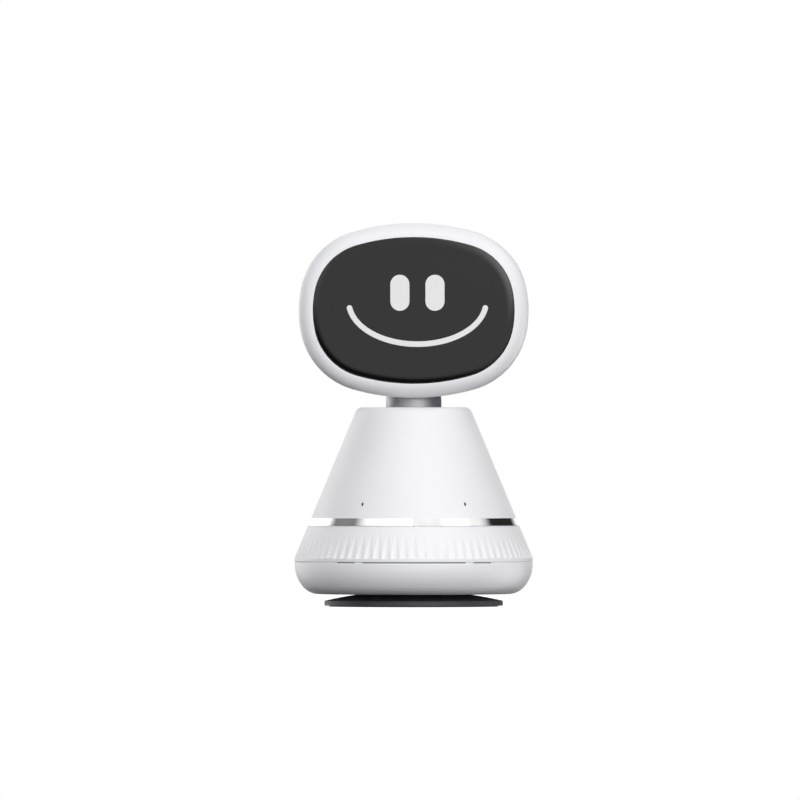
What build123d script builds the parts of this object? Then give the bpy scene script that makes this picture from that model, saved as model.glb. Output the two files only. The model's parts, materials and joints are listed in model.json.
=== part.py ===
from build123d import *
from math import acos, atan, atan2, cos, degrees, hypot, pi, radians, sin, sqrt, tan
import os

# Tabletop companion robot: a screen-faced head on a ball neck, a conical body and a turntable base.
# Millimetres, +Z up, the face towards -Y, the origin at the middle of the foot on the table.

# ---- Driving dimensions ---------------------------------------------------------------------------

# Head: an oval of eight tangent arcs, seen from the front
HEAD_Z = 231.4
HEAD_HALF_W = 89.8
HEAD_HALF_H = 68.3
OVAL_TOP_R = 171.2
OVAL_SIDE_R = 89.2
OVAL_CORNER_R = 57.4
PARTING_Y = -27.0
BEZEL_DEPTH = 11.4
HEAD_BACK = 36.0
HEAD_TAPER = 8.0
REAR_ROUND = 30.0
HEAD_WALL = 2.2
REAR_BOSS_DEPTH = 14.0
REAR_HEAD_SINK = 5.0
VENTS = 11

# Face lens and the lit shapes on it
WINDOW_INSET = 11.0
LENS_FRONT_Y = -38.9
LENS_R = 3000.0
LIP_Y = -36.0
LENS_BACK_Y = -34.5
LENS_FLANGE_T = 0.9
GRAPHICS_X = 2.9
EYE_W = 14.9
EYE_H = 28.1
EYE_SPACING = 27.4
EYE_Z = 245.2
SMILE_HALF_W = 53.6
SMILE_HALF_H = 33.3
SMILE_Z = 238.4
SMILE_STROKE = 4.3
SMILE_END_ANGLE = 8.7
LIT_DEPTH = 0.3

# Neck ball and the tilt axis
TILT_Z = 160.5
NECK_R = 21.75
NECK_WALL = 2.0
SOCKET_R = 22.4
CUP_R = 24.6
CUP_RIM_Z = 167.5
LOOK_DOWN = 15.0
LOOK_UP = 25.0
ARM_X = 13.2
ARM_T = 2.6
ARM_W = 9.0

# Body: a cone over a fluted skirt over a bowl
BODY_R = 93.2
CONE_START_Z = 38.0
CONE_SLOPE = 0.4176
CONE_TOP_Z = 155.8
CONE_TOP_ROUND = 6.0
RING_Z = (63.5, 69.2)
SEAM_Z = 35.2
SLOT_H = 1.0
RIM_CHAMFER = 0.7
BOWL_CZ = 33.5
BOWL_SIDE_R = 28.0
BOWL_FOOT_R = 16.0
BOWL_Z = 9.7
BOWL_OPENING_R = 45.0
SHELL_WALL = 2.5
FLUTES = 80
FLUTE_DEPTH = 0.9
FLUTE_R = 7.0
FLUTE_TOP_Z = 58.0

# Base and turntable
PUCK_R = 69.8
DOME_R = 305.0
DOME_TOP_Z = 12.6
DOME_FLAT_R = 24.0
FOOT_R = (56.0, 66.0)
SPINDLE_BORE_R = 12.0
SPINDLE_R = 20.0
BEARING_Z = (14.0, 21.0)
BALL_R = 1.75
BALL_PITCH_R = 23.0
BALLS = 24
BEARING_OUTER_R = 26.0
STOP_R = 36.0

# Yaw gears: module 1, 20 degree stub teeth
MODULE = 1.0
PRESSURE = radians(20)
ADDENDUM = 0.75
DEDENDUM = 1.0
BACKLASH = 0.2
GEAR_TEETH = 48
PINION_TEETH = 12
GEAR_Z = (26.0, 32.0)
PINION_X = -MODULE * (GEAR_TEETH + PINION_TEETH) / 2

# Chassis
CHASSIS_Z = (22.0, 25.0)
CHASSIS_R = 86.0
DECK_Z = (95.0, 98.0)
DECK_R = 58.0
POST_XY = [(42, 28), (-42, 28), (-42, -28), (42, -28)]
SKIRT_SCREW_R = 82.0
CONE_SCREW_R = 72.5
BOWL_SCREWS = [(60 * cos(radians(a)), 60 * sin(radians(a))) for a in (20, 160, 200, 340)]
SCREW_R = 1.45
HEAD_R = 2.8

# Power button and microphones, both square to the cone
BUTTON_Z = 84.0
BUTTON_R = 5.0
BUTTON_SINK = 2.9
BUTTON_PROUD = 1.2
MIC_Z = 80.3
MIC_AZIMUTH = 32.0
MIC_SLOT = (3.2, 1.9)

# Rear screws and chassis screws of the head, in the face's own x and height
REAR_SCREWS = [(40, 18), (-40, 18), (-40, -18), (40, -18)]
BEZEL_SCREWS = [(72.7, 39.4), (-72.7, 39.4), (-72.7, -39.4), (72.7, -39.4)]
BEZEL_BOSS_R = 2.6
BEZEL_SCREW_R = 1.0
BEZEL_HEAD_R = 1.9

os.makedirs("parts", exist_ok=True)


# ---- Shared helpers -------------------------------------------------------------------------------


def write(part, name):
    part.label = name
    export_step(part, f"parts/{name}.step")


def cone_r(z):
    """Outer radius of the body at a height on the cone."""
    return BODY_R - (z - CONE_START_Z) * CONE_SLOPE


def dome_z(r, sink=0.0):
    """Height of the puck's domed top at a radius, or of the surface that lies sink below it."""
    return DOME_TOP_Z - DOME_R + sqrt((DOME_R - sink) ** 2 - r * r)


def turned(points, start=0.0, arc=360.0):
    """A closed profile of (radius, height) points revolved about Z."""
    turn = radians(start)
    plane = Plane(origin=(0, 0, 0), x_dir=(cos(turn), sin(turn), 0), z_dir=(sin(turn), -cos(turn), 0))
    with BuildPart() as solid:
        with BuildSketch(plane):
            with BuildLine():
                Polyline(*points, close=True)
            make_face()
        revolve(axis=Axis.Z, revolution_arc=arc)
    return solid.part


def ring(inner, outer, low, high):
    return turned([(inner, low), (outer, low), (outer, high), (inner, high)])


def rod(x, y, low, high, radius):
    """An upright cylinder, for use as a piece or as a cutter."""
    with BuildPart() as solid:
        with BuildSketch(Plane.XY.offset(low)):
            with Locations((x, y)):
                Circle(radius)
        extrude(amount=high - low)
    return solid.part


def block(low, high):
    """A box between two corners."""
    with BuildPart() as solid:
        with BuildSketch(Plane.XY.offset(low[2])):
            with Locations(((low[0] + high[0]) / 2, (low[1] + high[1]) / 2)):
                Rectangle(high[0] - low[0], high[1] - low[1])
        extrude(amount=high[2] - low[2])
    return solid.part


def polar(radius, count, first=45.0):
    """Points on a circle about Z, as (x, y)."""
    turns = [radians(first + 360 * k / count) for k in range(count)]
    return [(radius * cos(t), radius * sin(t)) for t in turns]


def cone_plane(azimuth, z, sink=0.0):
    """A plane square to the cone's surface. Azimuth 0 is the front, and local y points up the slope."""
    turn = radians(azimuth)
    lean = atan(CONE_SLOPE)
    out = Vector(cos(lean) * sin(turn), -cos(lean) * cos(turn), sin(lean))
    r = cone_r(z)
    point = Vector(r * sin(turn), -r * cos(turn), z) - out * sink
    return Plane(origin=point, x_dir=(cos(turn), sin(turn), 0), z_dir=out)


def face_plane(y):
    """A plane that faces the viewer: local x is X, local y is height above the head's centre."""
    return Plane(origin=(0, y, HEAD_Z), x_dir=(1, 0, 0), z_dir=(0, -1, 0))


def oval_arcs():
    """Centres, radii and turns of the head's eight tangent arcs."""
    top = OVAL_TOP_R - OVAL_CORNER_R
    side = OVAL_SIDE_R - OVAL_CORNER_R
    drop = OVAL_TOP_R - HEAD_HALF_H
    reach = HEAD_HALF_W - OVAL_SIDE_R
    span = hypot(reach, drop)
    along = (top**2 - side**2 + span**2) / (2 * span)
    across = sqrt(top**2 - along**2)
    ux, uy = reach / span, drop / span
    cx = along * ux + across * uy
    cy = -drop + along * uy - across * ux
    steep = degrees(atan2(cy + drop, cx))
    low = degrees(atan2(cy, cx - reach))
    corner = steep - low
    return [
        (reach, 0, OVAL_SIDE_R, -low, 2 * low),
        (cx, cy, OVAL_CORNER_R, low, corner),
        (0, -drop, OVAL_TOP_R, steep, 180 - 2 * steep),
        (-cx, cy, OVAL_CORNER_R, 180 - steep, corner),
        (-reach, 0, OVAL_SIDE_R, 180 - low, 2 * low),
        (-cx, -cy, OVAL_CORNER_R, 180 + low, corner),
        (0, drop, OVAL_TOP_R, 180 + steep, 180 - 2 * steep),
        (cx, -cy, OVAL_CORNER_R, -steep, corner),
    ]


def oval(y, inset):
    """The head's outline, brought in by inset, on a plane across the head."""
    with BuildSketch(face_plane(y)) as outline:
        with BuildLine():
            for cx, cy, radius, start, size in oval_arcs():
                CenterArc((cx, cy), radius - inset, start, size)
        make_face()
    return outline.sketch


def gear(teeth, bore, low, high, phase):
    """A spur gear about Z with involute flanks, a tooth at the phase angle in degrees."""
    pitch = MODULE * teeth / 2
    base = pitch * cos(PRESSURE)
    tip = pitch + ADDENDUM
    root = pitch - DEDENDUM
    half = pi / (2 * teeth) - BACKLASH / (4 * pitch)
    involute = tan(PRESSURE) - PRESSURE
    flank = [max(base, root) + (tip - max(base, root)) * s for s in (0.0, 0.35, 0.7, 1.0)]
    points = []
    for k in range(teeth):
        middle = radians(phase) + 2 * pi * k / teeth
        side = []
        for r in flank:
            a = acos(min(1.0, base / r))
            side.append((r, half + involute - (tan(a) - a)))
        if base > root:
            side.insert(0, (root, side[0][1]))
        rising = [(r, middle - turn) for r, turn in side]
        falling = [(r, middle + turn) for r, turn in reversed(side)]
        points += [(r * cos(a), r * sin(a)) for r, a in rising + falling]
    with BuildPart() as solid:
        with BuildSketch(Plane.XY.offset(low)):
            with BuildLine():
                Polyline(*points, close=True)
            make_face()
            Circle(bore, mode=Mode.SUBTRACT)
        extrude(amount=high - low)
    return solid.part


def screws(places, head_low, head_high, tip, radius=SCREW_R, head=HEAD_R):
    """Upright screws: a head between two heights and a shank to the tip, on either side of it."""
    start = head_high if tip > head_high else head_low
    with BuildPart() as group:
        for x, y in places:
            add(rod(x, y, head_low, head_high, head))
            add(rod(x, y, min(start, tip), max(start, tip), radius))
    return group.part


# ---- Base -----------------------------------------------------------------------------------------

SPINDLE_SCREWS = polar(16, 4, 45)
COVER_SCREWS = polar(18, 4, 0)
COVER_Z = (1.0, 2.2)

with BuildPart() as base_plate:
    with BuildSketch(Plane.XZ):
        with BuildLine():
            rim_in = PUCK_R - SHELL_WALL
            mid = (PUCK_R + DOME_FLAT_R) / 2
            inner_mid = (rim_in + DOME_FLAT_R) / 2
            ThreePointArc((DOME_FLAT_R, dome_z(DOME_FLAT_R)), (mid, dome_z(mid)), (PUCK_R, dome_z(PUCK_R)))
            Polyline(
                (PUCK_R, dome_z(PUCK_R)),
                (PUCK_R, 0.8),
                (rim_in, 0.8),
                (rim_in, dome_z(rim_in, SHELL_WALL)),
            )
            ThreePointArc(
                (rim_in, dome_z(rim_in, SHELL_WALL)),
                (inner_mid, dome_z(inner_mid, SHELL_WALL)),
                (DOME_FLAT_R, dome_z(DOME_FLAT_R, SHELL_WALL)),
            )
            Polyline(
                (DOME_FLAT_R, dome_z(DOME_FLAT_R, SHELL_WALL)),
                (DOME_FLAT_R, COVER_Z[1]),
                (SPINDLE_BORE_R, COVER_Z[1]),
                (SPINDLE_BORE_R, dome_z(DOME_FLAT_R)),
                (DOME_FLAT_R, dome_z(DOME_FLAT_R)),
            )
        make_face()
    revolve(axis=Axis.Z)
    add(rod(0, STOP_R, 7.0, 9.6, 4.5))
    add(rod(0, STOP_R, 6.0, 12.0, 2.5), mode=Mode.SUBTRACT)
    for x, y in SPINDLE_SCREWS:
        add(rod(x, y, 2.0, 4.6, 3.0), mode=Mode.SUBTRACT)
        add(rod(x, y, 2.0, 12.0, SCREW_R), mode=Mode.SUBTRACT)
    for x, y in COVER_SCREWS:
        add(rod(x, y, 2.0, 8.0, SCREW_R), mode=Mode.SUBTRACT)
write(base_plate.part, "base_plate")

with BuildPart() as base_cover:
    add(rod(0, 0, *COVER_Z, 66.8))
    for x, y in COVER_SCREWS:
        add(rod(x, y, *COVER_Z, SCREW_R), mode=Mode.SUBTRACT)
write(base_cover.part, "base_cover")

write(ring(*FOOT_R, 0.0, COVER_Z[0]), "foot_ring")

with BuildPart() as base_weight:
    add(turned([(27, COVER_Z[1]), (56, COVER_Z[1]), (56, 4.0), (27, 8.2)]))
    add(rod(0, STOP_R, 2.0, 9.0, 5.5), mode=Mode.SUBTRACT)
write(base_weight.part, "base_weight")

with BuildPart() as base_screws:
    add(screws(SPINDLE_SCREWS, 2.6, 4.6, 19.0))
    add(screws(COVER_SCREWS, 0.3, COVER_Z[0], 8.0))
write(base_screws.part, "base_screws")

SPINDLE_FOOT = dome_z(DOME_FLAT_R)
CLIP_Z = (32.0, 33.2)
with BuildPart() as turntable_spindle:
    add(
        turned(
            [
                (SPINDLE_BORE_R, SPINDLE_FOOT),
                (22, SPINDLE_FOOT),
                (22, BEARING_Z[0]),
                (SPINDLE_R, BEARING_Z[0]),
                (SPINDLE_R, CLIP_Z[0]),
                (SPINDLE_R - 1, CLIP_Z[0]),
                (SPINDLE_R - 1, CLIP_Z[1]),
                (SPINDLE_R, CLIP_Z[1]),
                (SPINDLE_R, CLIP_Z[1] + 0.8),
                (SPINDLE_BORE_R, CLIP_Z[1] + 0.8),
            ]
        )
    )
    for x, y in SPINDLE_SCREWS:
        add(rod(x, y, 11.0, 19.0, SCREW_R), mode=Mode.SUBTRACT)
write(turntable_spindle.part, "turntable_spindle")

BALL_Z = sum(BEARING_Z) / 2
GROOVE_R = BALL_R + 0.1
with BuildPart() as bearing_inner_ring:
    add(ring(SPINDLE_R, 21.8, *BEARING_Z))
    with Locations((0, 0, BALL_Z)):
        Torus(BALL_PITCH_R, GROOVE_R, mode=Mode.SUBTRACT)
write(bearing_inner_ring.part, "bearing_inner_ring")

with BuildPart() as bearing_outer_ring:
    add(ring(24.2, BEARING_OUTER_R, *BEARING_Z))
    with Locations((0, 0, BALL_Z)):
        Torus(BALL_PITCH_R, GROOVE_R, mode=Mode.SUBTRACT)
write(bearing_outer_ring.part, "bearing_outer_ring")

with BuildPart() as bearing_balls:
    with Locations((0, 0, BALL_Z)):
        with PolarLocations(BALL_PITCH_R, BALLS):
            Sphere(BALL_R)
write(bearing_balls.part, "bearing_balls")

write(ring(SPINDLE_R, 22, BEARING_Z[1], GEAR_Z[0]), "gear_spacer")
write(gear(GEAR_TEETH, SPINDLE_R, *GEAR_Z, 0), "yaw_gear")
clip_in, clip_out = SPINDLE_R - 1, SPINDLE_R + 2.5
clip = [(clip_in, CLIP_Z[0]), (clip_out, CLIP_Z[0]), (clip_out, CLIP_Z[1]), (clip_in, CLIP_Z[1])]
write(turned(clip, 20, 320), "retaining_ring")
write(rod(0, STOP_R, 7.0, 20.0, 2.5), "stop_pin")

# ---- Body shells ----------------------------------------------------------------------------------

BOWL_IN = BODY_R - SHELL_WALL
BOWL_TOP_Z = SEAM_Z - 0.1
SOCKET_Z = 29.25
FRONT_SLOTS = ((-115.9, 51.9), (-130.4, 10.6), (-60.0, 10.8))
SLOT_Z = SEAM_Z - SLOT_H
SLOT_GAP = 0.06
RIB_R = BODY_R - 1.0
RIB_GAP = 0.05

# The bowl's section is a wide arc down the side, then a tighter arc that meets the flat bottom.
SIDE_CX = BODY_R - BOWL_SIDE_R
FOOT_CZ = BOWL_Z + BOWL_FOOT_R
FOOT_CX = SIDE_CX + sqrt((BOWL_SIDE_R - BOWL_FOOT_R) ** 2 - (BOWL_CZ - FOOT_CZ) ** 2)
TURN = atan2(BOWL_CZ - FOOT_CZ, FOOT_CX - SIDE_CX)


def side_point(share, inset):
    """A point of the bowl's side arc, from its top (share 0) to where the foot arc starts (1)."""
    r = BOWL_SIDE_R - inset
    return SIDE_CX + r * cos(share * TURN), BOWL_CZ - r * sin(share * TURN)


def foot_point(share, inset):
    """A point of the bowl's foot arc, from the side arc (share 0) to the flat bottom (1)."""
    r = BOWL_FOOT_R - inset
    turn = TURN + share * (pi / 2 - TURN)
    return FOOT_CX + r * cos(turn), FOOT_CZ - r * sin(turn)


with BuildPart() as lower_shell:
    with BuildSketch(Plane.XZ):
        with BuildLine():
            for inset in (0.0, SHELL_WALL):
                ThreePointArc(side_point(0, inset), side_point(0.5, inset), side_point(1, inset))
                ThreePointArc(foot_point(0, inset), foot_point(0.5, inset), foot_point(1, inset))
            Polyline(
                (BODY_R, BOWL_CZ),
                (BODY_R, BOWL_TOP_Z - RIM_CHAMFER),
                (BODY_R - RIM_CHAMFER, BOWL_TOP_Z),
                (BOWL_IN, BOWL_TOP_Z),
                (BOWL_IN, BOWL_CZ),
            )
            Polyline(
                (FOOT_CX, BOWL_Z),
                (BOWL_OPENING_R, BOWL_Z),
                (BOWL_OPENING_R, BOWL_Z + SHELL_WALL),
                (FOOT_CX, BOWL_Z + SHELL_WALL),
            )
        make_face()
    revolve(axis=Axis.Z)
    for x, y in BOWL_SCREWS:
        add(rod(x, y, BOWL_Z + SHELL_WALL, CHASSIS_Z[0], 5.0))
    for x, y in BOWL_SCREWS:
        add(rod(x, y, BOWL_Z - 1, 12.7, 3.2), mode=Mode.SUBTRACT)
        add(rod(x, y, 12.0, CHASSIS_Z[0] + 1, SCREW_R), mode=Mode.SUBTRACT)
    # Each slot's lower edge is chamfered, as the rim beside it is.
    slot = [
        (BOWL_IN - 1, SLOT_Z),
        (BODY_R - RIM_CHAMFER, SLOT_Z),
        (BODY_R + 1, SLOT_Z - RIM_CHAMFER - 1),
        (BODY_R + 1, SEAM_Z),
        (BOWL_IN - 1, SEAM_Z),
    ]
    for start, arc in FRONT_SLOTS:
        add(turned(slot, start, arc), mode=Mode.SUBTRACT)
    with BuildSketch(Plane.XZ.offset(-BODY_R - 2)):
        with Locations((0, SOCKET_Z)):
            SlotOverall(10.2, 4.4)
    extrude(amount=10, mode=Mode.SUBTRACT)
write(lower_shell.part, "lower_shell")

# One strip behind all three slots, a degree longer at each end, with a rib that fills each slot.
backing_in, backing_out = BOWL_IN - 2.2, BOWL_IN - 0.5
backing = [(backing_in, 31), (backing_out, BOWL_CZ), (backing_out, 38), (backing_in, 38)]
slots_start = min(start for start, arc in FRONT_SLOTS)
slots_end = max(start + arc for start, arc in FRONT_SLOTS)
rib_low, rib_high = SLOT_Z + SLOT_GAP, BOWL_TOP_Z - SLOT_GAP
rib = [(backing_in, rib_low), (RIB_R, rib_low), (RIB_R, rib_high), (backing_in, rib_high)]
with BuildPart() as slot_backing:
    add(turned(backing, slots_start - 1, slots_end - slots_start + 2))
    for start, arc in FRONT_SLOTS:
        add(turned(rib, start + RIB_GAP, arc - 2 * RIB_GAP))
write(slot_backing.part, "slot_backing")

STEP_Z = RING_Z[0] - 0.55
STEP_IN = 1.5
TAB_IN, TAB_OUT = 0.7, 2.0

with BuildPart() as flute:
    foot = Vector(cone_r(CONE_START_Z) - FLUTE_DEPTH, 0, CONE_START_Z)
    top = Vector(cone_r(FLUTE_TOP_Z), 0, FLUTE_TOP_Z)
    along = (top - foot).normalized()
    out = Vector(along.Z, 0, -along.X)
    with BuildSketch(Plane(origin=foot - along * 2, x_dir=out, z_dir=along)):
        with Locations((FLUTE_R, 0)):
            Circle(FLUTE_R)
    extrude(amount=(top - foot).length + 2)
    with BuildSketch(Plane.XY.offset(CONE_START_Z)):
        with Locations((BODY_R, 0)):
            Rectangle(40, 20)
    extrude(amount=-10, mode=Mode.SUBTRACT)

with BuildPart() as ribbed_skirt:
    wall = SHELL_WALL + 0.2
    add(
        turned(
            [
                (BODY_R - 0.3, SEAM_Z),
                (BODY_R, SEAM_Z + 0.3),
                (BODY_R, CONE_START_Z),
                (cone_r(RING_Z[0]), RING_Z[0]),
                (cone_r(RING_Z[0]) - wall, RING_Z[0]),
                (cone_r(62) - wall, 62),
                (69, 62),
                (69, 60),
                (cone_r(60) - wall, 60),
                (BODY_R - wall, CONE_START_Z),
                (BODY_R - wall, SEAM_Z),
            ]
        )
    )
    with PolarLocations(0, FLUTES, start_angle=-90):
        add(flute.part, mode=Mode.SUBTRACT)
    step = [(cone_r(STEP_Z) - STEP_IN, STEP_Z), (90, STEP_Z), (90, 64), (cone_r(STEP_Z) - STEP_IN, 64)]
    add(turned(step, -90 - TAB_IN, 2 * TAB_IN), mode=Mode.SUBTRACT)
    add(turned(step, -90 + TAB_OUT, 360 - 2 * TAB_OUT), mode=Mode.SUBTRACT)
    for x, y in polar(86.5, 4):
        tab = Plane(origin=(x, y, 36), x_dir=(x, y, 0), z_dir=(0, 0, 1))
        with BuildSketch(tab):
            Rectangle(16, 8)
        extrude(amount=2.5)
    add(turned([(BODY_R, 35), (99, 35), (99, 40), (BODY_R, 40)]), mode=Mode.SUBTRACT)
    for x, y in polar(SKIRT_SCREW_R, 4):
        add(rod(x, y, 35, 40, SCREW_R), mode=Mode.SUBTRACT)
    for x, y in polar(CONE_SCREW_R, 4):
        add(rod(x, y, 59, 63, SCREW_R), mode=Mode.SUBTRACT)
write(ribbed_skirt.part, "ribbed_skirt")

lens_r = cone_r(STEP_Z) - STEP_IN
with BuildPart() as status_lens:
    with BuildSketch(Plane.XY.offset(STEP_Z + 0.02)):
        with Locations((0, -lens_r - 0.6)):
            Rectangle(1.3, 1.2)
    extrude(amount=0.5)
    add(rod(0, 0, STEP_Z, RING_Z[0], lens_r), mode=Mode.SUBTRACT)
write(status_lens.part, "status_lens")

with BuildPart() as chrome_ring:
    add(
        turned(
            [
                (cone_r(RING_Z[0]), RING_Z[0]),
                (cone_r(RING_Z[1]), RING_Z[1]),
                (cone_r(RING_Z[1]) - 2.6, RING_Z[1]),
                (cone_r(RING_Z[0]) - 2.6, RING_Z[0]),
            ]
        )
    )
write(chrome_ring.part, "chrome_ring")

NECK_HOLE_R = 22.2
BUSH_Z = (146.0, CONE_TOP_Z - SHELL_WALL)
BUSH_R = 24.2

with BuildPart() as cone_shell:
    with BuildSketch(Plane.XZ):
        with BuildLine():
            wall = SHELL_WALL + 0.2
            Polyline(
                (cone_r(RING_Z[1]), RING_Z[1]),
                (cone_r(CONE_TOP_Z), CONE_TOP_Z),
                (NECK_HOLE_R, CONE_TOP_Z),
                (NECK_HOLE_R, BUSH_Z[1]),
                (BUSH_R, BUSH_Z[1]),
                (BUSH_R, BUSH_Z[0]),
                (27, BUSH_Z[0]),
                (27, BUSH_Z[1]),
                (cone_r(BUSH_Z[1]) - wall, BUSH_Z[1]),
                (cone_r(RING_Z[1]) - wall, RING_Z[1]),
                close=True,
            )
        make_face()
    revolve(axis=Axis.Z)
    rim = cone_shell.edges().filter_by(GeomType.CIRCLE).sort_by(lambda e: e.center().Z * 1000 + e.radius)
    fillet(rim[-1], radius=CONE_TOP_ROUND)
    for x, y in polar(CONE_SCREW_R, 4):
        add(rod(x, y, 62, 76, 4))
    for x, y in polar(CONE_SCREW_R, 4):
        add(rod(x, y, 61, 71, SCREW_R), mode=Mode.SUBTRACT)
    for side in (-1, 1):
        with BuildSketch(cone_plane(side * MIC_AZIMUTH, MIC_Z, -1)):
            SlotOverall(*MIC_SLOT, rotation=90)
        extrude(amount=-6, mode=Mode.SUBTRACT)
    with BuildSketch(cone_plane(180, BUTTON_Z, -2)):
        Circle(BUTTON_R + 0.15)
    extrude(amount=-8, mode=Mode.SUBTRACT)
write(cone_shell.part, "cone_shell")

# ---- Chassis, deck and turntable drive ------------------------------------------------------------

STOP_HALF = STOP_R * sin(radians(5.4))
with BuildPart() as chassis_plate:
    add(
        turned(
            [
                (BEARING_OUTER_R, 13),
                (30, 13),
                (30, CHASSIS_Z[0]),
                (CHASSIS_R, CHASSIS_Z[0]),
                (CHASSIS_R, CHASSIS_Z[1]),
                (24.5, CHASSIS_Z[1]),
                (24.5, BEARING_Z[1]),
                (BEARING_OUTER_R, BEARING_Z[1]),
            ]
        )
    )
    add(block((-STOP_HALF, -STOP_R - 3, 14), (STOP_HALF, -STOP_R + 3, CHASSIS_Z[0])))
    for x, y in polar(SKIRT_SCREW_R, 4):
        add(rod(x, y, CHASSIS_Z[1], 36, 3.5))
    for x, y in polar(SKIRT_SCREW_R, 4):
        add(rod(x, y, CHASSIS_Z[0] - 1, 37, SCREW_R), mode=Mode.SUBTRACT)
    for x, y in BOWL_SCREWS:
        add(rod(x, y, CHASSIS_Z[0] - 1, 24.5, SCREW_R), mode=Mode.SUBTRACT)
write(chassis_plate.part, "chassis_plate")

BRACKET_Z = (35.0, 37.0)
BRACKET_POSTS = [(-46, 18), (-46, -18), (-24, 21), (-24, -21)]
MOTOR_R = 12.5
SHAFT_R = 2.0

with BuildPart() as motor_bracket:
    add(block((-50, -24, BRACKET_Z[0]), (-16, 24, BRACKET_Z[1])))
    for x, y in BRACKET_POSTS:
        add(rod(x, y, CHASSIS_Z[1], BRACKET_Z[0], 3))
    add(rod(PINION_X, 0, BRACKET_Z[0], BRACKET_Z[1], 5), mode=Mode.SUBTRACT)
write(motor_bracket.part, "motor_bracket")

with BuildPart() as yaw_motor:
    add(rod(PINION_X, 0, BRACKET_Z[1], 58, MOTOR_R))
    chamfer(yaw_motor.edges().filter_by(GeomType.CIRCLE), length=0.8)
    add(rod(PINION_X, 0, 58, 61, 5))
    for side in (-1, 1):
        add(block((PINION_X - 1, side * 8 - 1.5, 58), (PINION_X + 1, side * 8 + 1.5, 62)))
    add(rod(PINION_X, 0, BRACKET_Z[1] - 1, 46, SHAFT_R + 0.05), mode=Mode.SUBTRACT)
write(yaw_motor.part, "yaw_motor")

with BuildPart() as yaw_pinion:
    with Locations((PINION_X, 0, 0)):
        add(gear(PINION_TEETH, SHAFT_R, *GEAR_Z, 15))
        add(ring(SHAFT_R, 4, GEAR_Z[1], 34))
write(yaw_pinion.part, "yaw_pinion")
write(rod(PINION_X, 0, GEAR_Z[0], 45, SHAFT_R), "pinion_shaft")

with BuildPart() as upper_deck:
    add(ring(9, DECK_R, *DECK_Z))
    for x, y in POST_XY:
        add(rod(x, y, DECK_Z[0] - 1, DECK_Z[1] + 1, SCREW_R), mode=Mode.SUBTRACT)
write(upper_deck.part, "upper_deck")

with BuildPart() as deck_posts:
    for x, y in POST_XY:
        add(rod(x, y, CHASSIS_Z[1], DECK_Z[0], 3.5))
    for x, y in POST_XY:
        add(rod(x, y, DECK_Z[0] - 10, DECK_Z[0] + 1, SCREW_R), mode=Mode.SUBTRACT)
write(deck_posts.part, "deck_posts")

with BuildPart() as body_screws:
    add(screws(BOWL_SCREWS, 10.7, 12.7, 24.5))
    add(screws(polar(SKIRT_SCREW_R, 4), 20, CHASSIS_Z[0], 37))
    add(screws(polar(CONE_SCREW_R, 4), 58, 60, 70))
    add(screws(POST_XY, DECK_Z[1], DECK_Z[1] + 2, DECK_Z[0] - 9))
write(body_screws.part, "body_screws")

# ---- Electronics and sound ------------------------------------------------------------------------

with BuildPart() as battery:
    add(block((-34, -70, 25), (34, -34, 47)))
    fillet(battery.edges().filter_by(Axis.X), radius=4)
write(battery.part, "battery")

with BuildPart() as main_board:
    add(block((-36, 28, 30), (36, 72, 31.6)))
    for x, y in ((-32, 32), (32, 32), (-32, 68), (32, 68)):
        add(rod(x, y, CHASSIS_Z[1], 30, 2.5))
    add(block((-26, 60, 31.6), (-6, 66, 38)))
    add(block((8, 58, 31.6), (22, 66, 34)))
write(main_board.part, "main_board")

with BuildPart() as heat_sink:
    add(block((-12, 36, 31.6), (12, 54, 33.6)))
    for k in range(7):
        x = -12 + k * 3.75
        add(block((x, 36, 33.6), (x + 1.5, 54, 41)))
write(heat_sink.part, "heat_sink")

write(block((-10, 72.5, 26.4), (10, 87, 27.6)), "power_board")

with BuildPart() as power_socket:
    with BuildSketch(Plane.XZ.offset(-91.8)):
        with Locations((0, SOCKET_Z)):
            SlotOverall(8.94, 3.26)
    extrude(amount=10.8)
    with BuildSketch(Plane.XZ.offset(-92.8)):
        with Locations((0, SOCKET_Z)):
            SlotOverall(8.34, 2.56)
    extrude(amount=8, mode=Mode.SUBTRACT)
    add(block((-3.3, 81.0, SOCKET_Z - 0.35), (3.3, 91.0, SOCKET_Z + 0.35)))
    add(block((-4, 81.0, 27.6), (4, 85, SOCKET_Z)))
write(power_socket.part, "power_socket")

write(
    turned([(15, 84), (26, 74), (28, 74), (28, 72), (24.5, 72), (24.5, 73), (14, 82.5), (14, 84)]),
    "speaker_frame",
)
write(turned([(0, 80), (9, 80), (24.5, 72), (24.5, 72.8), (9.3, 81), (0, 81)]), "speaker_cone")
write(rod(0, 0, 84, DECK_Z[0], 15), "speaker_magnet")

for side, name in ((-1, "microphone_left"), (1, "microphone_right")):
    with BuildPart() as microphone:
        with BuildSketch(cone_plane(side * MIC_AZIMUTH, MIC_Z, 2.9)):
            Rectangle(5, 4)
        extrude(amount=-1.2)
        with BuildSketch(cone_plane(side * MIC_AZIMUTH, MIC_Z, 4.1)):
            Rectangle(12, 10)
        extrude(amount=-1)
        # A rubber boot brings the sound port up the shell's slot.
        with BuildSketch(cone_plane(side * MIC_AZIMUTH, MIC_Z, 2.9)):
            SlotOverall(MIC_SLOT[0] - 0.1, MIC_SLOT[1] - 0.1, rotation=90)
        extrude(amount=2.5)
    write(microphone.part, name)

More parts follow.
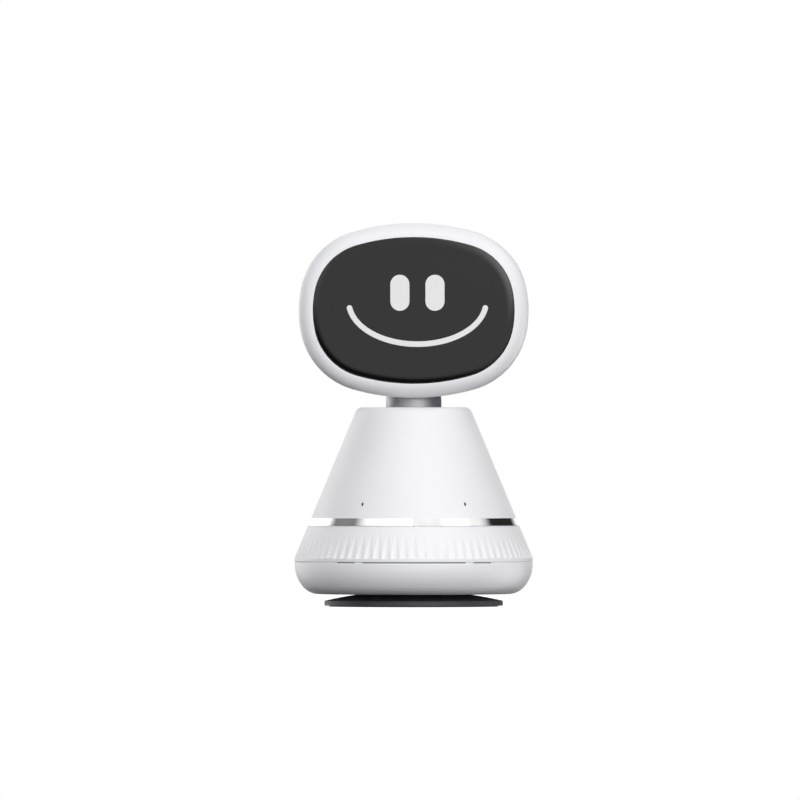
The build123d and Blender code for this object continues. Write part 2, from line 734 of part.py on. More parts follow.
with BuildPart() as power_button:
    with BuildSketch(cone_plane(180, BUTTON_Z, BUTTON_SINK + 1)):
        Circle(BUTTON_R + 1.4)
    extrude(amount=1.0)
    with BuildSketch(cone_plane(180, BUTTON_Z, BUTTON_SINK)):
        Circle(BUTTON_R)
    extrude(amount=BUTTON_SINK + BUTTON_PROUD)
    fillet(power_button.faces().sort_by(Axis.Y)[-1].edges(), radius=0.5)
    with BuildSketch(cone_plane(180, BUTTON_Z, BUTTON_SINK + 1)):
        Circle(1.8)
    extrude(amount=-1.8)
write(power_button.part, "power_button")

with BuildPart() as button_switch:
    with BuildSketch(cone_plane(180, BUTTON_Z, 7.0)):
        Rectangle(6, 6)
    extrude(amount=-3.5)
    with BuildSketch(cone_plane(180, BUTTON_Z, 10.5)):
        Rectangle(16, 12)
    extrude(amount=-1.2)
write(button_switch.part, "button_switch")

# ---- Neck drive -----------------------------------------------------------------------------------

DIAG = sqrt(0.5)
EAR_Z = 126.0
with BuildPart() as pan_bracket:
    for low_y, high_y in ((-17, -10.4), (30.8, 37.4)):
        add(block((-10, low_y, DECK_Z[1]), (10, high_y, EAR_Z)))
write(pan_bracket.part, "pan_bracket")

with BuildPart() as pan_servo:
    add(block((-10.25, -10.2, DECK_Z[1] + 1), (10.25, 30.5, 135)))
    add(block((-9.5, -17, EAR_Z), (9.5, 37.4, EAR_Z + 2.5)))
    add(rod(0, 0, 135, 136.5, 7))
    add(rod(0, 0, 136.5, 141, 2.9))
write(pan_servo.part, "pan_servo")

write(ring(NECK_R + 0.08, BUSH_R, *BUSH_Z), "neck_bush")

NECK_FOOT_Z = 143.0
PLATE_Z = (143.2, 145.7)
NECK_SCREWS = polar(17.8, 3, 90)
SLOT_X = (12.6, 16.4)


def arm_sweep(half_width, length):
    """The outline, seen from the side, that an arm of some half width sweeps between the tilt limits."""
    front = radians(90 - LOOK_DOWN)
    rear = radians(90 + LOOK_UP)
    points = []
    for turn, side in ((front, -1), (rear, 1)):
        near = (side * half_width * -sin(turn), side * half_width * cos(turn))
        far = (near[0] + length * cos(turn), near[1] + length * sin(turn))
        points += [near, far] if side < 0 else [far, near]
    return points


with BuildPart() as neck_shell:
    with BuildSketch(Plane.XZ):
        with BuildLine():
            inner = NECK_R - NECK_WALL
            ThreePointArc(
                (NECK_R, TILT_Z),
                (NECK_R * DIAG, TILT_Z + NECK_R * DIAG),
                (0, TILT_Z + NECK_R),
            )
            Line((0, TILT_Z + NECK_R), (0, TILT_Z + inner))
            ThreePointArc(
                (0, TILT_Z + inner),
                (inner * DIAG, TILT_Z + inner * DIAG),
                (inner, TILT_Z),
            )
            Polyline(
                (inner, TILT_Z),
                (inner, 148.0),
                (16.0, 148.0),
                (16.0, PLATE_Z[1]),
                (inner, PLATE_Z[1]),
                (inner, NECK_FOOT_Z),
                (23.6, NECK_FOOT_Z),
                (23.6, NECK_FOOT_Z + 2),
                (NECK_R, NECK_FOOT_Z + 2),
                (NECK_R, TILT_Z),
            )
        make_face()
    revolve(axis=Axis.Z)
    for side in (-1, 1):
        high_x = SLOT_X[1] if side > 0 else -SLOT_X[0]
        # Local x of this plane points to the front of the robot and local y points up.
        with BuildSketch(Plane(origin=(high_x, 0, TILT_Z), x_dir=(0, -1, 0), z_dir=(-1, 0, 0))):
            with BuildLine():
                Polyline(*arm_sweep(ARM_W / 2 + 0.6, 26), close=True)
            make_face()
        extrude(amount=SLOT_X[1] - SLOT_X[0], mode=Mode.SUBTRACT)
    for x, y in NECK_SCREWS:
        add(rod(x, y, 143, 149, 1.0), mode=Mode.SUBTRACT)
write(neck_shell.part, "neck_shell")

with BuildPart() as neck_plate:
    add(rod(0, 0, *PLATE_Z, 19.7))
    add(rod(0, 0, 138.2, PLATE_Z[0], 5))
    add(rod(0, 0, 138.0, 141.2, 2.95), mode=Mode.SUBTRACT)
    for x, y in NECK_SCREWS:
        add(rod(x, y, 143, 146, 1.0), mode=Mode.SUBTRACT)
write(neck_plate.part, "neck_plate")
write(screws(NECK_SCREWS, 141.7, PLATE_Z[0], 148.0, 1.0, 1.9), "neck_screws")

with BuildPart() as servo_cradle:
    for side in (-1, 1):
        add(block((-9, min(side * 4.4, side * 6.4), PLATE_Z[1]), (9, max(side * 4.4, side * 6.4), 158)))
    add(block((-12.6, -6.4, PLATE_Z[1]), (-9.9, 6.4, 165)))
    with BuildSketch(Plane.YZ.offset(-14)):
        with Locations((0, TILT_Z)):
            Circle(2.05)
    extrude(amount=6, mode=Mode.SUBTRACT)
write(servo_cradle.part, "servo_cradle")

with BuildPart() as tilt_servo:
    add(block((-9, -4.35, 146.5), (9.5, 4.35, 166.5)))
    with BuildSketch(Plane.YZ.offset(9.5)):
        with Locations((0, TILT_Z)):
            Circle(4)
    extrude(amount=1.2)
    with BuildSketch(Plane.YZ.offset(10.7)):
        with Locations((0, TILT_Z)):
            Circle(2.3)
    extrude(amount=4.7)
write(tilt_servo.part, "tilt_servo")

# ---- Head -----------------------------------------------------------------------------------------

FRAME_Y = (-29.7, -31.7)
YOKE_FLANGE_Z = (178, 196)
YOKE_SHELF_Z = (190, 193)


def head_block(inset):
    """The rear of the head, as a solid, brought in by inset."""
    with BuildPart() as solid:
        extrude(oval(PARTING_Y, inset), amount=PARTING_Y - HEAD_BACK + inset, taper=HEAD_TAPER)
        fillet(solid.faces().sort_by(Axis.Y)[-1].edges(), radius=REAR_ROUND - inset)
    return solid.part


with BuildPart() as cup:
    with Locations((0, 0, TILT_Z)):
        Sphere(CUP_R)
    add(block((-30, -30, TILT_Z - 30), (30, 30, CUP_RIM_Z)), mode=Mode.SUBTRACT)
    add(head_block(0), mode=Mode.INTERSECT)

with BuildPart() as rear_housing:
    add(head_block(0))
    add(head_block(HEAD_WALL), mode=Mode.SUBTRACT)
    with BuildSketch(face_plane(HEAD_BACK - REAR_BOSS_DEPTH)):
        with Locations(*REAR_SCREWS):
            Circle(5)
    extrude(amount=-12.5)
    add(cup.part)
    with Locations((0, 0, TILT_Z)):
        Sphere(SOCKET_R, mode=Mode.SUBTRACT)
    for side in (-1, 1):
        low_x = ARM_X - 0.2 if side > 0 else -ARM_X - ARM_T - 0.2
        cut = ARM_W / 2 + 0.2
        add(block((low_x, -cut, 170), (low_x + ARM_T + 0.4, cut, 190)), mode=Mode.SUBTRACT)
    with BuildSketch(face_plane(HEAD_BACK + 1)):
        with Locations(*REAR_SCREWS):
            Circle(3)
    extrude(amount=REAR_HEAD_SINK + 1, mode=Mode.SUBTRACT)
    with BuildSketch(face_plane(HEAD_BACK + 1)):
        with Locations(*REAR_SCREWS):
            Circle(SCREW_R)
    extrude(amount=16, mode=Mode.SUBTRACT)
    with BuildSketch(face_plane(HEAD_BACK + 1)):
        with GridLocations(5, 0, VENTS, 1):
            SlotOverall(20, 2, rotation=90)
    extrude(amount=5, mode=Mode.SUBTRACT)
write(rear_housing.part, "rear_housing")

with BuildPart() as bezel_core:
    extrude(oval(PARTING_Y, 2.4), amount=PARTING_Y - LIP_Y)
    fillet(bezel_core.faces().sort_by(Axis.Y)[0].edges(), radius=8.8)

with BuildPart() as bezel_form:
    extrude(oval(PARTING_Y, 0), amount=BEZEL_DEPTH)
    fillet(bezel_form.faces().sort_by(Axis.Y)[0].edges(), radius=BEZEL_DEPTH - 0.1)

with BuildPart() as bezel_bosses:
    with BuildSketch(face_plane(FRAME_Y[1])):
        with Locations(*BEZEL_SCREWS):
            Circle(BEZEL_BOSS_R)
    extrude(amount=FRAME_Y[1] - LIP_Y + 0.5)
    add(bezel_form.part, mode=Mode.INTERSECT)

with BuildPart() as front_bezel:
    add(bezel_form.part)
    add(bezel_core.part, mode=Mode.SUBTRACT)
    add(bezel_bosses.part)
    extrude(oval(LIP_Y + 5, WINDOW_INSET), amount=10, mode=Mode.SUBTRACT)
    with BuildSketch(face_plane(FRAME_Y[1] + 1)):
        with Locations(*BEZEL_SCREWS):
            Circle(BEZEL_SCREW_R)
    extrude(amount=3.2, mode=Mode.SUBTRACT)
write(front_bezel.part, "front_bezel")


def lens_ball(lift):
    """The big sphere whose front is the lens face, moved forward by lift."""
    with BuildPart() as solid:
        with Locations((0, LENS_FRONT_Y - lift + LENS_R, HEAD_Z)):
            Sphere(LENS_R)
    return solid.part


def lit_shape(outline, name):
    """A thin lit shape let into the lens, with its face level with the lens."""
    with BuildPart() as solid:
        extrude(outline, amount=8)
        add(lens_ball(0.0), mode=Mode.INTERSECT)
        add(lens_ball(-LIT_DEPTH), mode=Mode.SUBTRACT)
    write(solid.part, name)
    return solid.part


def eye_outline(x):
    with BuildSketch(face_plane(LIP_Y)) as outline:
        with Locations((x, EYE_Z - HEAD_Z)):
            SlotOverall(EYE_H, EYE_W, rotation=90)
    return outline.sketch


def smile_outline():
    half = SMILE_STROKE / 2
    centre_z = SMILE_Z - HEAD_Z
    start, sweep_angle = 180 + SMILE_END_ANGLE, 180 - 2 * SMILE_END_ANGLE
    with BuildSketch(face_plane(LIP_Y)) as outline:
        with BuildLine():
            outer = EllipticalCenterArc(
                (GRAPHICS_X, centre_z),
                SMILE_HALF_W + half,
                SMILE_HALF_H + half,
                start,
                arc_size=sweep_angle,
            )
            inner = EllipticalCenterArc(
                (GRAPHICS_X, centre_z),
                SMILE_HALF_W - half,
                SMILE_HALF_H - half,
                start,
                arc_size=sweep_angle,
            )
            Line(outer @ 0, inner @ 0)
            Line(outer @ 1, inner @ 1)
        make_face()
        with Locations((outer @ 0 + inner @ 0) / 2, (outer @ 1 + inner @ 1) / 2):
            Circle(((outer @ 0) - (inner @ 0)).length / 2)
    return outline.sketch


lit = [
    lit_shape(eye_outline(GRAPHICS_X - EYE_SPACING / 2), "eye_left"),
    lit_shape(eye_outline(GRAPHICS_X + EYE_SPACING / 2), "eye_right"),
    lit_shape(smile_outline(), "mouth"),
]

with BuildPart() as face_lens:
    extrude(oval(LENS_BACK_Y, WINDOW_INSET + 0.05), amount=6)
    extrude(oval(LENS_BACK_Y, WINDOW_INSET - 2.6), amount=LENS_FLANGE_T)
    add(lens_ball(0.0), mode=Mode.INTERSECT)
    for shape in lit:
        add(shape, mode=Mode.SUBTRACT)
write(face_lens.part, "face_lens")

write(block((-64, -34.3, HEAD_Z - 38), (64, -31.9, HEAD_Z + 38)), "lcd_module")

with BuildPart() as head_frame:
    extrude(oval(FRAME_Y[0], 4.4), amount=FRAME_Y[0] - FRAME_Y[1])
    with BuildSketch(face_plane(HEAD_BACK - REAR_BOSS_DEPTH)):
        with Locations(*REAR_SCREWS):
            Circle(4)
    extrude(amount=HEAD_BACK - REAR_BOSS_DEPTH - FRAME_Y[0])
    with BuildSketch(face_plane(HEAD_BACK)):
        with Locations(*REAR_SCREWS):
            Circle(SCREW_R)
    extrude(amount=24, mode=Mode.SUBTRACT)
    with BuildSketch(face_plane(FRAME_Y[0] + 1)):
        with Locations(*BEZEL_SCREWS):
            Circle(BEZEL_SCREW_R)
    extrude(amount=4, mode=Mode.SUBTRACT)
write(head_frame.part, "head_frame")

with BuildPart() as display_board:
    add(block((-34, -20, HEAD_Z - 24), (34, -18.4, HEAD_Z + 30)))
    add(block((-12, -18.4, HEAD_Z - 8), (12, -16, HEAD_Z + 16)))
    for x in (-30, 30):
        for z in (-20, 26):
            with BuildSketch(face_plane(-20)):
                with Locations((x, z)):
                    Circle(2.2)
            extrude(amount=-20 - FRAME_Y[0])
write(display_board.part, "display_board")

with BuildPart() as tilt_yoke:
    for side in (-1, 1):
        low_x = ARM_X if side > 0 else -ARM_X - ARM_T
        with BuildSketch(Plane.YZ.offset(low_x)):
            with Locations((0, TILT_Z)):
                Circle(ARM_W / 2)
            with Locations((0, (TILT_Z + YOKE_SHELF_Z[1]) / 2)):
                Rectangle(ARM_W, YOKE_SHELF_Z[1] - TILT_Z)
        extrude(amount=ARM_T)
    outer_x = ARM_X + ARM_T
    add(block((-outer_x, FRAME_Y[0], YOKE_SHELF_Z[0]), (outer_x, ARM_W / 2, YOKE_SHELF_Z[1])))
    add(block((-22, FRAME_Y[0], YOKE_FLANGE_Z[0]), (22, FRAME_Y[0] + 2.5, YOKE_FLANGE_Z[1])))
    with BuildSketch(Plane.YZ.offset(ARM_X - 1)):
        with Locations((0, TILT_Z)):
            Circle(2.35)
    extrude(amount=ARM_T + 2, mode=Mode.SUBTRACT)
    with BuildSketch(Plane.YZ.offset(-outer_x - 1)):
        with Locations((0, TILT_Z)):
            Circle(2.0)
    extrude(amount=ARM_T + 2, mode=Mode.SUBTRACT)
write(tilt_yoke.part, "tilt_yoke")

with BuildPart() as pivot_pin:
    with BuildSketch(Plane.YZ.offset(-ARM_X - ARM_T)):
        with Locations((0, TILT_Z)):
            Circle(2.0)
    extrude(amount=5.7)
    with BuildSketch(Plane.YZ.offset(-ARM_X - ARM_T)):
        with Locations((0, TILT_Z)):
            Circle(3.0)
    extrude(amount=-1.4)
write(pivot_pin.part, "pivot_pin")

with BuildPart() as head_screws:
    with BuildSketch(face_plane(HEAD_BACK - REAR_HEAD_SINK)):
        with Locations(*REAR_SCREWS):
            Circle(HEAD_R)
    extrude(amount=-2)
    with BuildSketch(face_plane(HEAD_BACK - REAR_HEAD_SINK)):
        with Locations(*REAR_SCREWS):
            Circle(SCREW_R)
    extrude(amount=18)
    with BuildSketch(face_plane(FRAME_Y[0])):
        with Locations(*BEZEL_SCREWS):
            Circle(BEZEL_HEAD_R)
    extrude(amount=-1.6)
    with BuildSketch(face_plane(FRAME_Y[0])):
        with Locations(*BEZEL_SCREWS):
            Circle(BEZEL_SCREW_R)
    extrude(amount=4)
write(head_screws.part, "head_screws")
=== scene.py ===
import json
import math

import bmesh
import bpy
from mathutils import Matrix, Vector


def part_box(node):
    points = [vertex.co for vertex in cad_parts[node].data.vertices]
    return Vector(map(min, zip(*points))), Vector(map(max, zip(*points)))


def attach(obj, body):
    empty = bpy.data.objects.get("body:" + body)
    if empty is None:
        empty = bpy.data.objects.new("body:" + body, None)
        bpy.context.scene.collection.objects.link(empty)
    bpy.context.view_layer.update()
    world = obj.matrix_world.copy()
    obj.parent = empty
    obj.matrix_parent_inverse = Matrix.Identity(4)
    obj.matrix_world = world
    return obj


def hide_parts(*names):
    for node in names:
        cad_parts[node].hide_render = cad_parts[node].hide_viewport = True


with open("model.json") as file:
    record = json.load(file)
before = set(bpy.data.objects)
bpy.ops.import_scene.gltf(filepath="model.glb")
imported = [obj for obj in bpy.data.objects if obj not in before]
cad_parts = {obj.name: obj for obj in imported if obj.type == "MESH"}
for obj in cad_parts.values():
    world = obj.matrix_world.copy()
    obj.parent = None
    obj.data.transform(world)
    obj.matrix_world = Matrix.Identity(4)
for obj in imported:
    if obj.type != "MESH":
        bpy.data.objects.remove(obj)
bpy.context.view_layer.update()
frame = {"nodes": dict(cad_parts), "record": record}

MM = 0.001
NODES = frame["nodes"]


# ---- Camera: level, straight at the face, from so far that the view is nearly parallel ----

LENS_MM = 1000
SENSOR_MM = 36
# The square that the view takes in at the robot's axis: its side, and its middle in x and z.
VIEW_SIZE = 625.8 * MM
VIEW_MIDDLE = (-10.7 * MM, 161.5 * MM)
# Far enough to hold everything behind the robot, in metres.
VIEW_REACH = 100

scene = bpy.context.scene
camera_data = bpy.data.cameras.new("camera")
camera_data.lens = LENS_MM
camera_data.sensor_width = SENSOR_MM
camera_data.clip_end = VIEW_REACH
camera = bpy.data.objects.new("camera", camera_data)
camera.location = (VIEW_MIDDLE[0], -VIEW_SIZE / SENSOR_MM * LENS_MM, VIEW_MIDDLE[1])
camera.rotation_euler = (math.radians(90), 0, 0)
scene.collection.objects.link(camera)
scene.camera = camera
scene.view_settings.view_transform = "Standard"


# ---- Material helpers ----

# Noise stays mostly inside this range, so the ramps spread it from end to end.
NOISE_RANGE = (0.3, 0.7)


class Surface:
    """A material with one Principled shader, and short calls that add procedural detail to it."""

    def __init__(self, name, color, roughness, metallic=0.0):
        self.material = bpy.data.materials.new(name)
        self.material.use_nodes = True
        self.tree = self.material.node_tree
        self.shader = self.tree.nodes["Principled BSDF"]
        self.shader.inputs["Base Color"].default_value = (*color, 1)
        self.shader.inputs["Roughness"].default_value = roughness
        self.shader.inputs["Metallic"].default_value = metallic
        self.color = color
        self.roughness = roughness
        self.place = self.tree.nodes.new("ShaderNodeTexCoord").outputs["Object"]

    def link(self, start, end):
        self.tree.links.new(start, end)

    def stretched(self, x, y, z):
        """Object coordinates scaled along each axis, so that noise runs in streaks."""
        mapping = self.tree.nodes.new("ShaderNodeMapping")
        mapping.inputs["Scale"].default_value = (x, y, z)
        self.link(self.place, mapping.inputs["Vector"])
        return mapping.outputs["Vector"]

    def noise(self, scale, detail=3.0, vector=None):
        """Noise whose features are about 1 / scale metres across."""
        texture = self.tree.nodes.new("ShaderNodeTexNoise")
        texture.inputs["Scale"].default_value = scale
        texture.inputs["Detail"].default_value = detail
        self.link(vector or self.place, texture.inputs["Vector"])
        return texture.outputs["Fac"]

    def ramp(self, value, low, high):
        """Noise spread out to run from low to high."""
        spread = self.tree.nodes.new("ShaderNodeMapRange")
        spread.inputs["From Min"].default_value = NOISE_RANGE[0]
        spread.inputs["From Max"].default_value = NOISE_RANGE[1]
        spread.inputs["To Min"].default_value = low
        spread.inputs["To Max"].default_value = high
        self.link(value, spread.inputs["Value"])
        return spread.outputs["Result"]

    def vary_roughness(self, scale, amount):
        """Roughness that drifts up and down by an amount."""
        low, high = self.roughness - amount, self.roughness + amount
        self.link(self.ramp(self.noise(scale), low, high), self.shader.inputs["Roughness"])

    def vary_color(self, scale, amount):
        """Colour that drifts lighter and darker by a share of itself."""
        mix = self.tree.nodes.new("ShaderNodeMix")
        mix.data_type = "RGBA"
        mix.inputs["A"].default_value = (*[c * (1 - amount) for c in self.color], 1)
        mix.inputs["B"].default_value = (*[c * (1 + amount) for c in self.color], 1)
        self.link(self.ramp(self.noise(scale), 0, 1), mix.inputs["Factor"])
        self.link(mix.outputs["Result"], self.shader.inputs["Base Color"])

    def bump(self, value, strength, distance):
        """Fine relief of some depth in metres."""
        node = self.tree.nodes.new("ShaderNodeBump")
        node.inputs["Strength"].default_value = strength
        node.inputs["Distance"].default_value = distance
        self.link(value, node.inputs["Height"])
        self.link(node.outputs["Normal"], self.shader.inputs["Normal"])


# ---- Materials, one for each slot in the record ----


def moulded_white():
    surface = Surface("white_shell", (0.845, 0.842, 0.872), 0.42)
    surface.shader.inputs["Coat Weight"].default_value = 0.08
    surface.shader.inputs["Coat Roughness"].default_value = 0.3
    surface.vary_roughness(60, 0.04)
    surface.vary_color(18, 0.008)
    surface.bump(surface.noise(2600, 2.0), 0.12, 0.03 * MM)
    return surface.material


def textured_black():
    surface = Surface("black_base", (0.046, 0.045, 0.054), 0.6)
    surface.vary_roughness(90, 0.08)
    surface.vary_color(40, 0.15)
    surface.bump(surface.noise(3200, 2.0), 0.35, 0.06 * MM)
    return surface.material


def small_fitting(name, color, roughness):
    """A matt plastic or rubber, for the slot backing, the status lens and the sound ports."""
    surface = Surface(name, color, roughness)
    surface.vary_roughness(200, 0.1)
    surface.bump(surface.noise(2400), 0.2, 0.04 * MM)
    return surface.material


def face_black():
    surface = Surface("face_black", (0.004, 0.004, 0.0045), 0.09)
    surface.vary_roughness(45, 0.015)
    surface.bump(surface.noise(14, 1.0), 0.02, 0.2 * MM)
    return surface.material


def lit_white():
    surface = Surface("lit_white", (0.42, 0.415, 0.42), 0.25)
    surface.shader.inputs["Emission Color"].default_value = (1, 1, 1, 1)
    surface.shader.inputs["Emission Strength"].default_value = 0.36
    surface.vary_roughness(80, 0.03)
    surface.vary_color(900, 0.03)
    return surface.material


def polished_chrome():
    surface = Surface("chrome_trim", (0.97, 0.97, 0.975), 0.07, 1.0)
    surface.vary_roughness(70, 0.02)
    surface.bump(surface.noise(60, 2.0, surface.stretched(1, 1, 14)), 0.03, 0.2 * MM)
    return surface.material


def satin_metal():
    surface = Surface("neck_metal", (0.36, 0.36, 0.372), 0.46, 1.0)
    surface.shader.inputs["Anisotropic"].default_value = 0.4
    surface.vary_roughness(120, 0.05)
    surface.bump(surface.noise(180, 3.0, surface.stretched(1, 1, 40)), 0.12, 0.06 * MM)
    return surface.material


def soft_rubber():
    surface = Surface("foot_rubber", (0.02, 0.02, 0.021), 0.75)
    surface.vary_roughness(150, 0.08)
    surface.bump(surface.noise(900), 0.4, 0.1 * MM)
    return surface.material


def turned_steel():
    surface = Surface("steel", (0.55, 0.55, 0.57), 0.3, 1.0)
    surface.vary_roughness(200, 0.08)
    surface.bump(surface.noise(300, 3.0, surface.stretched(1, 1, 25)), 0.15, 0.05 * MM)
    return surface.material


def milled_plate():
    surface = Surface("plate_metal", (0.66, 0.66, 0.68), 0.38, 1.0)
    surface.vary_roughness(160, 0.08)
    surface.bump(surface.noise(200, 3.0, surface.stretched(1, 12, 1)), 0.15, 0.05 * MM)
    return surface.material


def plated_screws():
    surface = Surface("screw_steel", (0.42, 0.42, 0.44), 0.35, 1.0)
    surface.vary_roughness(400, 0.1)
    surface.bump(surface.noise(1500), 0.2, 0.03 * MM)
    return surface.material


def moulded(name, color, roughness):
    """A plain moulded plastic, for the working parts inside."""
    surface = Surface(name, color, roughness)
    surface.vary_roughness(150, 0.08)
    surface.vary_color(60, 0.05)
    surface.bump(surface.noise(1800), 0.2, 0.04 * MM)
    return surface.material


MATERIALS = {
    "white_shell": moulded_white(),
    "black_base": textured_black(),
    "dark_trim": small_fitting("dark_trim", (0.3, 0.3, 0.31), 0.6),
    "port_rubber": small_fitting("port_rubber", (0.02, 0.02, 0.021), 0.7),
    "face_black": face_black(),
    "lit_white": lit_white(),
    "chrome_trim": polished_chrome(),
    "neck_metal": satin_metal(),
    "foot_rubber": soft_rubber(),
    "steel": turned_steel(),
    "plate_metal": milled_plate(),
    "screw_steel": plated_screws(),
    "gear_plastic": moulded("gear_plastic", (0.72, 0.70, 0.63), 0.4),
    "servo_black": moulded("servo_black", (0.03, 0.03, 0.034), 0.45),
    "board_green": moulded("board_green", (0.02, 0.13, 0.06), 0.35),
    "cell_blue": moulded("cell_blue", (0.05, 0.12, 0.35), 0.25),
    "display_glass": moulded("display_glass", (0.01, 0.01, 0.012), 0.15),
    "cone_paper": moulded("cone_paper", (0.03, 0.03, 0.03), 0.8),
}

# Every CAD node takes the material of its slot.
for entry in frame["record"]["subparts"]:
    mesh = NODES[entry["node"]].data
    mesh.materials.clear()
    mesh.materials.append(MATERIALS[entry["material_slot"]])


# ---- Face lens: the outline and dome of the CAD lens, with its lower rim rolled back ----

# The head's outline is eight tangent arcs: a top and bottom radius, a side radius and a corner radius.
TOP_R = 171.2 * MM
SIDE_R = 89.2 * MM
CORNER_R = 57.4 * MM
# The lens fills the outline brought in by the bezel's width, less a fine gap.
WINDOW_INSET = 11.0 * MM
WINDOW_GAP = 0.1 * MM
DOME_R = 3000 * MM
# The rim falls back by up to this much at the bottom, hardly at the top, over a band this wide.
ROLL_BACK = 1.5 * MM
ROLL_WIDTH = 7 * MM
# The front is sunk by a hair, so that the lit shapes stand proud of it.
LENS_SINK = 0.04 * MM
ROLL_STEPS = 14
FRONT_RINGS = 10
QUARTER_POINTS = 40


def outline_point(half_w, half_h, turn, inset):
    """The point of the outline whose outward normal is at a turn within its first quarter."""
    # The corner arc's middle lies where two circles about the top's and the side's middles cross.
    top, side = TOP_R - CORNER_R, SIDE_R - CORNER_R
    drop, reach = TOP_R - half_h, half_w - SIDE_R
    span = math.hypot(reach, drop)
    along = (top**2 - side**2 + span**2) / (2 * span)
    across = math.sqrt(top**2 - along**2)
    corner_x = (along * reach + across * drop) / span
    corner_z = -drop + (along * drop - across * reach) / span
    if turn < math.atan2(corner_z, corner_x - reach):
        middle, radius = (reach, 0), SIDE_R
    elif turn < math.atan2(corner_z + drop, corner_x):
        middle, radius = (corner_x, corner_z), CORNER_R
    else:
        middle, radius = (0, -drop), TOP_R
    return (
        middle[0] + (radius - inset) * math.cos(turn),
        middle[1] + (radius - inset) * math.sin(turn),
    )


def lens_rim(half_w, half_h, inset):
    """The whole outline brought in by inset, as (x, z) about the head's centre."""
    right_up = []
    for k in range(QUARTER_POINTS):
        turn = math.pi / 2 * (k + 0.5) / QUARTER_POINTS
        right_up.append(outline_point(half_w, half_h, turn, inset))
    left_up = [(-x, z) for x, z in reversed(right_up)]
    left_down = [(-x, -z) for x, z in right_up]
    right_down = [(x, -z) for x, z in reversed(right_up)]
    return right_up + left_up + left_down + right_down


def dome_fall(x, z):
    """How far the dome has fallen back at a point, from its front at the middle."""
    return (x * x + z * z) / (2 * DOME_R)


def lens_rings(half_w, half_h, front_y, back_y):
    """Rings of points about the head's centre: the back edge, the rolled rim, and in over the dome."""
    rim_inset = WINDOW_INSET + WINDOW_GAP
    rings = [[(x, back_y, z) for x, z in lens_rim(half_w, half_h, rim_inset)]]
    for step in range(ROLL_STEPS + 1):
        share = step / ROLL_STEPS
        sink = ROLL_BACK * (1 - share) ** 2
        ring = []
        for x, z in lens_rim(half_w, half_h, rim_inset + share * ROLL_WIDTH):
            lowness = (1 - z / half_h) / 2
            ring.append((x, front_y + dome_fall(x, z) + sink * lowness, z))
        rings.append(ring)
    last = rings[-1]
    for step in range(1, FRONT_RINGS):
        scale = 1 - step / FRONT_RINGS
        ring = [(x * scale, z * scale) for x, _, z in last]
        rings.append([(x, front_y + dome_fall(x, z), z) for x, z in ring])
    return rings


def closed_skin(rings, tip_y, middle_z):
    """A closed mesh over the rings: one flat face on the first, and a fan from the last to a tip."""
    mesh = bmesh.new()
    loops = [[mesh.verts.new((x, y, z + middle_z)) for x, y, z in ring] for ring in rings]
    for outer, inner in zip(loops, loops[1:]):
        for k in range(len(outer)):
            after = (k + 1) % len(outer)
            mesh.faces.new((outer[k], outer[after], inner[after], inner[k]))
    tip = mesh.verts.new((0, tip_y, middle_z))
    smallest = loops[-1]
    for k in range(len(smallest)):
        mesh.faces.new((smallest[k], smallest[(k + 1) % len(smallest)], tip))
    mesh.faces.new(list(reversed(loops[0])))
    bmesh.ops.recalc_face_normals(mesh, faces=mesh.faces)
    return mesh


def face_lens():
    """The black front of the head: a shallow dome on straight sides, with a flat back and no flange."""
    low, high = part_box("face_lens")
    head_low, head_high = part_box("front_bezel")
    half_w = (head_high[0] - head_low[0]) / 2
    half_h = (head_high[2] - head_low[2]) / 2
    middle_z = (head_high[2] + head_low[2]) / 2
    front_y = low[1] + LENS_SINK
    mesh = closed_skin(lens_rings(half_w, half_h, front_y, high[1]), front_y, middle_z)
    data = bpy.data.meshes.new("lens_front")
    mesh.to_mesh(data)
    mesh.free()
    data.shade_smooth()
    made = bpy.data.objects.new("lens_front", data)
    scene.collection.objects.link(made)
    data.materials.append(MATERIALS["face_black"])
    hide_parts("face_lens")
    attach(made, "head")


face_lens()


# ---- Stage: a pale floor in a white studio with soft light all round ----

FLOOR_R = 1.6
FLOOR_SEGMENTS = 96

# The studio's soft light by direction. Each patch has an azimuth (0 in front of the face, growing
# towards +X), an elevation, the angles from its middle where it is full and where it has faded out,
# and its level. The patches add up over a faint even light.
EVEN_LIGHT = 0.02
PATCHES = (
    ("key", 18, 21, 4, 24, 3.9),
    ("front", 20, 19, 34, 54, 0.9),
    ("fill_left", -38, 27, 20, 37, 1.1),
    ("left_glow", -93, 32, 4, 24, 0.2),
    ("fill_right", 72, 38, 10, 30, 0.9),
    ("rear_left", -130, 2, 6, 36, 2.2),
    ("rear", 180, 12, 10, 36, 1.1),
    ("rear_high", 180, 60, 26, 40, 0.7),
    ("low_right", 116, -22, 4, 24, 3.0),
)


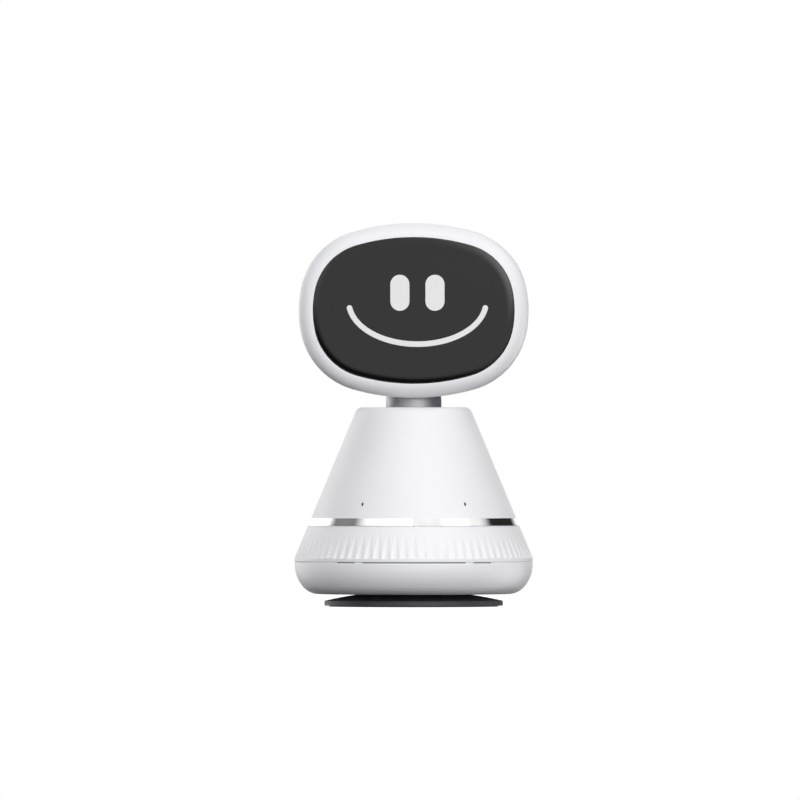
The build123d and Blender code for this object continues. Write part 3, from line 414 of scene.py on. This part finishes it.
def pale_floor():
    """A round floor that glows as evenly as a white studio sweep. Only the camera sees it, so that it
    throws no light up at the underside."""
    mesh = bmesh.new()
    bmesh.ops.create_circle(mesh, cap_ends=True, radius=FLOOR_R, segments=FLOOR_SEGMENTS)
    data = bpy.data.meshes.new("floor")
    mesh.to_mesh(data)
    mesh.free()
    made = bpy.data.objects.new("floor", data)
    scene.collection.objects.link(made)
    surface = Surface("floor", (0.3, 0.3, 0.3), 0.9)
    surface.vary_color(3, 0.01)
    surface.shader.inputs["Emission Color"].default_value = (1, 1, 1, 1)
    surface.shader.inputs["Emission Strength"].default_value = 0.8
    data.materials.append(surface.material)
    made.visible_diffuse = False
    made.visible_glossy = False
    made.visible_transmission = False
    made.visible_shadow = False


pale_floor()


def surround(even, patches):
    """A world whose light depends on direction only: soft round patches added to an even light."""
    world = bpy.data.worlds.new("surround")
    world.use_nodes = True
    tree = world.node_tree
    direction = tree.nodes.new("ShaderNodeTexCoord").outputs["Generated"]
    total = None
    for name, azimuth, elevation, full, faded, level in patches:
        turn, rise = math.radians(azimuth), math.radians(elevation)
        middle = (math.cos(rise) * math.sin(turn), -math.cos(rise) * math.cos(turn), math.sin(rise))
        dot = tree.nodes.new("ShaderNodeVectorMath")
        dot.operation = "DOT_PRODUCT"
        dot.label = name
        dot.inputs[1].default_value = middle
        tree.links.new(direction, dot.inputs[0])
        patch = tree.nodes.new("ShaderNodeMapRange")
        patch.interpolation_type = "SMOOTHSTEP"
        patch.inputs["From Min"].default_value = math.cos(math.radians(faded))
        patch.inputs["From Max"].default_value = math.cos(math.radians(full))
        patch.inputs["To Max"].default_value = level
        tree.links.new(dot.outputs["Value"], patch.inputs["Value"])
        add = tree.nodes.new("ShaderNodeMath")
        if total is None:
            add.inputs[0].default_value = even
        else:
            tree.links.new(total, add.inputs[0])
        tree.links.new(patch.outputs["Result"], add.inputs[1])
        total = add.outputs["Value"]
    # The camera sees plain white behind the robot.
    shown = tree.nodes.new("ShaderNodeMix")
    shown.inputs["B"].default_value = 1
    light_path = tree.nodes.new("ShaderNodeLightPath")
    tree.links.new(light_path.outputs["Is Camera Ray"], shown.inputs["Factor"])
    tree.links.new(total, shown.inputs["A"])
    background = tree.nodes["Background"]
    background.inputs["Color"].default_value = (1, 1, 1, 1)
    tree.links.new(shown.outputs["Result"], background.inputs["Strength"])
    return world


scene.world = surround(EVEN_LIGHT, PATCHES)
